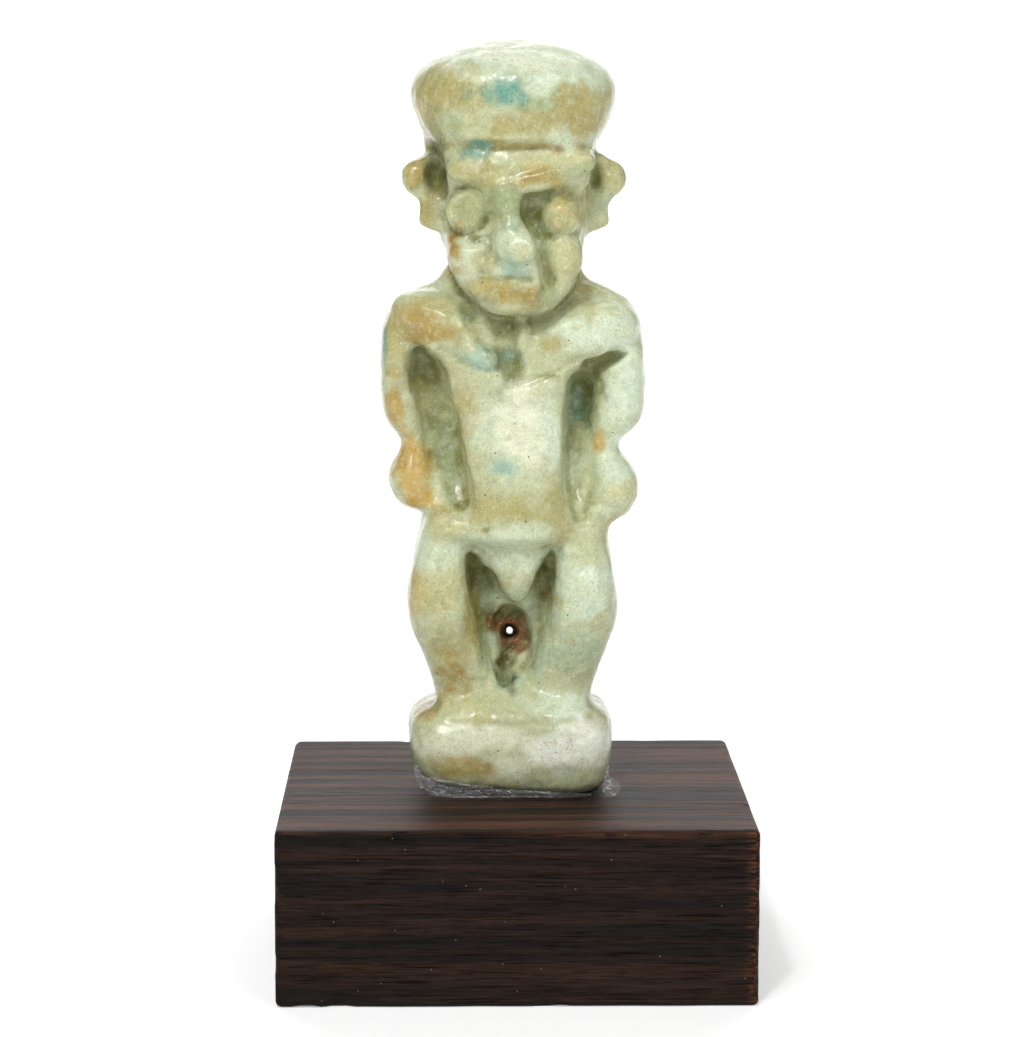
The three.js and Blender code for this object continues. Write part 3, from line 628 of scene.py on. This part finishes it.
class Finish:
    """A material: plain values go on its shader's own sockets, and add() makes any other node."""

    def __init__(self, name, **plain):
        self.material = bpy.data.materials.new(name)
        self.material.use_nodes = True
        self.tree = self.material.node_tree
        self.shader = self.tree.nodes["Principled BSDF"]
        for key, value in plain.items():
            self.shader.inputs[key.replace("_", " ")].default_value = value

    def add(self, kind, settings=None, sockets=None, output=0):
        node = self.tree.nodes.new(kind)
        for key, value in (settings or {}).items():
            setattr(node, key, value)
        for key, value in (sockets or {}).items():
            self.feed(node.inputs[key], value)
        return Wire(self, node.outputs[output])

    def feed(self, socket, value):
        if isinstance(value, Wire):
            self.tree.links.new(value.socket, socket)
        else:
            socket.default_value = value

    def set(self, socket, value):
        self.feed(self.shader.inputs[socket], value)

    def place(self, scale=(1, 1, 1), shift=(0, 0, 0), turn=0.0):
        """The point's place in millimetres, turned about X, then stretched by a scale."""
        at = self.add("ShaderNodeTexCoord", output="Object")
        settings = {"rotation_type": "X_AXIS"}
        turned = self.add("ShaderNodeVectorRotate", settings, {0: at, "Angle": math.radians(turn)})
        sizes = tuple(value / MM for value in scale)
        return self.add(
            "ShaderNodeMapping", None, {"Vector": turned, "Scale": sizes, "Location": shift}
        )

    def noise(self, place, scale, detail=3.0, rough=0.55, bend=0.0):
        sockets = {
            "Vector": place, "Scale": scale, "Detail": detail, "Roughness": rough, "Distortion": bend,
        }
        return self.add("ShaderNodeTexNoise", None, sockets)

    def cells(self, place, scale):
        """Distance to the nearest of scattered points, and a random number for each point."""
        sockets = {"Vector": place, "Scale": scale, "Randomness": 1.0}
        distance = self.add("ShaderNodeTexVoronoi", None, sockets, output="Distance")
        colour = self.add("ShaderNodeTexVoronoi", None, sockets, output="Color")
        return distance, self.add("ShaderNodeSeparateColor", None, {"Color": colour})

    def mix(self, share, first, second, kind="MIX"):
        settings = {"data_type": "RGBA", "blend_type": kind}
        return self.add("ShaderNodeMix", settings, {0: share, 6: first, 7: second}, output=2)

    def bump(self, height, distance, strength):
        sockets = {"Height": height, "Distance": distance, "Strength": strength}
        return self.add("ShaderNodeBump", None, sockets)


def faience():
    """The painted glaze, mottled, stained and pitted, glossy where pale and rough where darkened by
    dirt and painted shade.
    """
    finish = Finish("faience", IOR=1.38)
    place = finish.place()
    painted = finish.add("ShaderNodeVertexColor", {"layer_name": "glaze"})
    broad = finish.noise(place, 0.8, 5.0, 0.65, 0.6)
    mottle = finish.noise(place, 2.6, 4.0, 0.6)
    blotch = finish.noise(place, 1.9, 5.0, 0.7, 0.5)
    grain = finish.noise(place, 9.0, 3.0, 0.65)
    pale = finish.mix(mottle.ramp(0.48, 0.75) * 0.3, painted, (0.78, 0.82, 0.58, 1))
    stain = blotch.ramp(0.50, 0.66) * broad.ramp(0.38, 0.62)
    stained = finish.mix(stain * 0.5, pale, (0.33, 0.26, 0.08, 1))
    dust = finish.noise(place, 11.0, 2.0).ramp(0.60, 0.68) * broad.ramp(0.46, 0.62)
    dusty = finish.mix(dust * 0.55, stained, (0.20, 0.125, 0.035, 1))
    pits, chosen = finish.cells(place, 1.3)
    pit = (1 - pits.ramp(0.03, 0.08)) * chosen.ramp(0.6, 0.62)
    crystals, kept = finish.cells(place, 4.5)
    crystal = (1 - crystals.ramp(0.08, 0.2)) * kept.ramp(0.66, 0.7)
    spotted = finish.mix(crystal * 0.5, dusty, (0.90, 0.92, 0.78, 1))
    pitted = finish.mix(pit * 0.85, spotted, (0.04, 0.03, 0.015, 1))
    shade = grain * 0.7 + blotch * 0.9 + 0.2
    shades = finish.add("ShaderNodeCombineColor", None, {i: shade for i in range(3)})
    finish.set("Base Color", finish.mix(1.0, pitted, shades, "MULTIPLY"))
    # The painted colour's darkness, from dirt and painted shade alike, makes the glaze rougher
    clean_and_unshaded = finish.add("ShaderNodeRGBToBW", None, {0: painted}).ramp(0.05, 0.30)
    finish.set("Roughness", 0.62 - 0.50 * clean_and_unshaded + 0.20 * mottle)
    waves = finish.noise(place, 1.5, 1.0)
    relief = waves + grain * 0.06 - 0.6 * pit
    finish.set("Normal", finish.bump(relief, 0.00008, 0.8))
    return finish.material


def finish_piece(piece, material, node):
    """Brings a piece to metres, gives it its material and puts it in its node's place."""
    piece.scale = (MM, MM, MM)
    select_only(piece)
    bpy.ops.object.transform_apply(location=False, rotation=False, scale=True)
    piece.data.materials.clear()
    piece.data.materials.append(material)
    bpy.ops.object.shade_smooth()
    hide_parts(node)
    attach(piece, "root")


finish_piece(amulet, faience(), "faience_amulet")


# The glue: a clear adhesive that fills the gap under the amulet's rounded base. It was squeezed
# out by hand, and set uneven, with a smear up the left end, a few strings and a blob at the right.
def drop_of_glue(at, size, turn=0.0):
    """An extra drop or string: its middle and half sizes in millimetres, turned in front view."""
    bpy.ops.object.select_all(action="DESELECT")
    bpy.ops.mesh.primitive_uv_sphere_add(segments=24, ring_count=12, radius=1, location=at)
    made = bpy.context.object
    made.scale = size
    made.rotation_euler = (0, math.radians(turn), 0)
    bpy.ops.object.transform_apply(location=True, rotation=True, scale=True)
    return made


GLUE_SKIN = 0.075  # size of its skin's faces
GLUE_FILM = 0.012  # least height of its underside over the block

glue = copy_of_node("glue_bead", "glue")
drops = [
    drop_of_glue((5.15, -3.7, 9.72), (0.55, 0.5, 0.55)),  # blob at the right
    drop_of_glue((4.9, -3.9, 10.3), (0.14, 0.14, 0.75), 10),  # string up from it
    drop_of_glue((-5.15, -3.6, 10.35), (0.2, 0.6, 0.75), -14),  # smear up the left end
    drop_of_glue((-3.9, -4.2, 10.25), (1.35, 0.16, 0.13), 9),  # strings along the left
    drop_of_glue((-2.2, -4.2, 9.95), (1.1, 0.12, 0.09), 4),
    drop_of_glue((0.6, -4.15, 9.5), (1.9, 0.16, 0.12), 2),
]
for made in drops:
    made.select_set(True)
glue.select_set(True)
bpy.context.view_layer.objects.active = glue
bpy.ops.object.join()
modify(glue, "REMESH", mode="VOXEL", voxel_size=GLUE_SKIN)
modify(glue, "SMOOTH", factor=0.5, iterations=5)
ripple(glue, "glue runs", 1.1, 0.12)
modify(glue, "SMOOTH", factor=0.5, iterations=2)
poured = Surface(glue)
block_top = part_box("display_block")[1].z / MM
poured.at[:, 2] = np.maximum(poured.at[:, 2], block_top + GLUE_FILM)
poured.store()


def clear_glue():
    """Clear, with cloudy whitish wisps that also serve as its painted highlights."""
    finish = Finish("clear glue", Base_Color=(0.82, 0.83, 0.82, 1), Roughness=0.1, IOR=1.45)
    place = finish.place((1, 1, 2.5))
    wisps = finish.noise(place, 1.5, 5.0, 0.6, 2.0)
    # The whitish, half opaque wisps paint the glue's highlights as well as its cloudiness
    finish.set("Alpha", 0.09 + 0.58 * wisps.ramp(0.52, 0.66))
    finish.set("Normal", finish.bump(wisps, 0.0003, 0.8))
    return finish.material


finish_piece(glue, clear_glue(), "glue_bead")


# The block: a square of dark hardwood, streaked brown and black along the grain. It is sawn,
# polished, and a little chipped along its edges, where the fibres show orange brown.
BLOCK_EDGE = 0.30  # radius of its rubbed edges
BLOCK_MESH = 96  # divisions of its faces
NICK_DEPTH = 0.14
CHIP_AT = (-9.2, 0.1)  # x and z of the chip at the foot of its front
CHIP_DEPTH = 0.25

block_size = (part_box("display_block")[1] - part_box("display_block")[0]) / MM
bpy.ops.object.select_all(action="DESELECT")
bpy.ops.mesh.primitive_cube_add(size=1, location=(0, 0, block_size.z / 2))
block = bpy.context.object
block.name = "block"
block.scale = block_size
bpy.ops.object.transform_apply(location=True, rotation=False, scale=True)
bpy.ops.object.mode_set(mode="EDIT")
bpy.ops.mesh.select_all(action="SELECT")
bpy.ops.mesh.subdivide(number_cuts=BLOCK_MESH - 1)
bpy.ops.object.mode_set(mode="OBJECT")

# Distances from the block's sides, and from its upright and lying edges
worn = Surface(block)
x, y, z = worn.at.T
half = np.array(block_size) / 2
middle = np.array((0, 0, half[2]))
to_side, to_face, to_top = (half - np.abs(worn.at - middle)).T
upright = np.hypot(to_side, to_face)
lying = np.minimum(np.hypot(to_face, to_top), np.hypot(to_side, to_top))
rough = cloud(worn.at * (1, 1, 0.6), 0.7, 21)

# Its edges are rubbed round, unevenly, then roughened, nicked, and chipped at the front's foot
radius = BLOCK_EDGE * (0.7 + 0.6 * cloud(worn.at, 2.0, 23))[:, None]
core = np.clip(worn.at - middle, radius - half, half - radius)
outward = worn.at - middle - core
reach = np.linalg.norm(outward, axis=1)[:, None]
worn.at = middle + core + outward * np.minimum(1, radius / np.maximum(reach, 1e-9))
worn.at[:, :2] *= (1 - 0.012 * soft(rough, 0.55, 0.9) * soft(0.6 - upright, 0, 0.4))[:, None]
nicks = soft(cloud(worn.at * (0.5, 1, 1), 0.6, 22), 0.7, 0.95) * soft(0.5 - lying, 0, 0.35)
worn.at[:, 2] += np.where(z > half[2], -NICK_DEPTH, NICK_DEPTH) * nicks
worn.at[:, 1] *= 1 - 0.008 * nicks
from_chip = np.hypot(x - CHIP_AT[0], (z - CHIP_AT[1]) * 2)
chip = soft(0.9 - from_chip, 0, 0.5) * soft(0.5 - to_face, 0, 0.3) * (y < 0)
worn.at[:, 1] += CHIP_DEPTH * chip
worn.at[:, 2] = np.clip(worn.at[:, 2], 0, block_size.z)
worn.store()


LAYER_TILT = 38  # degrees that the wood's yearly layers lean, as its ends show


def hardwood():
    """Dark, with brown bands, streaks, fibres and pores along the grain, specks of dust, and
    orange brown fibres frayed along its right end."""
    finish = Finish("hardwood", IOR=1.5, Specular_IOR_Level=0.03)
    parts = finish.place()
    height = finish.add("ShaderNodeSeparateXYZ", None, {0: parts}, output=2)
    top = height.ramp(block_size.z - 0.45, block_size.z - 0.05)
    layers = finish.place((0.015, 0.80, 0.09), (3.1, 1.1, 2.2), turn=LAYER_TILT)
    bands = finish.noise(layers, 1.0, 3.0, 0.65, 0.3)
    streaks = finish.noise(finish.place((0.05, 2.6, 2.6)), 1.0, 4.0, 0.6)
    fibres = finish.noise(finish.place((0.7, 13.0, 13.0)), 1.0, 4.0, 0.7)
    pores = finish.noise(finish.place((0.25, 10.0, 10.0)), 1.0, 3.0, 0.6, 0.3)
    banded = (bands + 0.30 * streaks).ramp(0.58, 0.76) * (0.11 + 0.46 * top)
    colour = finish.mix(banded, (0.014, 0.0113, 0.0097, 1), (0.17, 0.068, 0.038, 1))
    shade = 2.6 * fibres - 0.3 + 0.5 * streaks - 0.25
    shades = finish.add("ShaderNodeCombineColor", None, {i: shade for i in range(3)})
    fibred = finish.mix(1.0, colour, shades, "MULTIPLY")
    pored = finish.mix(pores.ramp(0.58, 0.66) * 0.85, fibred, (0.003, 0.0025, 0.002, 1))
    near, chosen = finish.cells(parts, 1.6)
    speck = (1 - near.ramp(0.03, 0.07)) * chosen.ramp(0.7, 0.72)
    dusty = finish.mix(speck * 0.7, pored, (0.26, 0.23, 0.20, 1))
    side = finish.add("ShaderNodeSeparateXYZ", None, {0: parts}, output=0)
    frayed = side.ramp(half[0] - 0.9, half[0] - 0.1) * fibres.ramp(0.5, 0.62)
    finish.set("Base Color", finish.mix(frayed * 0.8, dusty, (0.17, 0.062, 0.022, 1)))
    finish.set("Roughness", 0.30 + 0.25 * streaks)
    finish.set("Normal", finish.bump(fibres * 0.8 - pores.ramp(0.55, 0.68), 0.00005, 0.8))
    return finish.material


finish_piece(block, hardwood(), "display_block")


# The studio: a pale floor that sweeps up behind, a large soft light above and to the left, a small
# one for the glaze's glints, a weaker one to the right, and one that lights the floor behind.
def sweep():
    """A floor whose far edge is drawn back and then up."""
    bpy.ops.object.select_all(action="DESELECT")
    bpy.ops.mesh.primitive_plane_add(size=1.0, location=(0, 0, 0))
    floor = bpy.context.object
    floor.name = "floor"
    finish = Finish("pale floor", Base_Color=(0.93, 0.93, 0.93, 1), Roughness=0.9,
                    Emission_Color=(1, 1, 1, 1), Emission_Strength=0.35)
    floor.data.materials.append(finish.material)
    bpy.ops.object.mode_set(mode="EDIT")
    bpy.ops.mesh.select_all(action="DESELECT")
    bpy.ops.object.mode_set(mode="OBJECT")
    for edge in floor.data.edges:
        ends = [floor.data.vertices[v].co.y for v in edge.vertices]
        edge.select = min(ends) > 0
    bpy.ops.object.mode_set(mode="EDIT")
    bpy.ops.mesh.extrude_region_move(TRANSFORM_OT_translate={"value": (0, 0.15, 0.08)})
    bpy.ops.mesh.extrude_region_move(TRANSFORM_OT_translate={"value": (0, 0.04, 0.5)})
    bpy.ops.object.mode_set(mode="OBJECT")


def softbox(name, at, target, size, power):
    light = bpy.data.lights.new(name, "AREA")
    light.shape = "RECTANGLE"
    light.size, light.size_y = size
    light.energy = power
    lamp = bpy.data.objects.new(name, light)
    lamp.location = at
    lamp.rotation_euler = (Vector(target) - Vector(at)).to_track_quat("-Z", "Y").to_euler()
    bpy.context.scene.collection.objects.link(lamp)


FIGURE = (0, 0, 0.03)  # the place that the lights in front point at
sweep()
softbox("key", (-0.15, -0.27, 0.32), FIGURE, (0.20, 0.20), 0.74)
softbox("glint", (-0.06, -0.22, 0.27), FIGURE, (0.02, 0.02), 0.24)
softbox("fill", (0.20, -0.26, 0.28), FIGURE, (0.24, 0.24), 0.5)
softbox("backdrop", (0, 0.30, 0.45), (0, 0.70, 0.05), (0.5, 0.3), 3.0)

world = bpy.data.worlds.new("studio")
bpy.context.scene.world = world
world.use_nodes = True
world.node_tree.nodes["Background"].inputs["Color"].default_value = (1, 1, 1, 1)
world.node_tree.nodes["Background"].inputs["Strength"].default_value = 0.07
bpy.context.scene.view_settings.view_transform = "Standard"
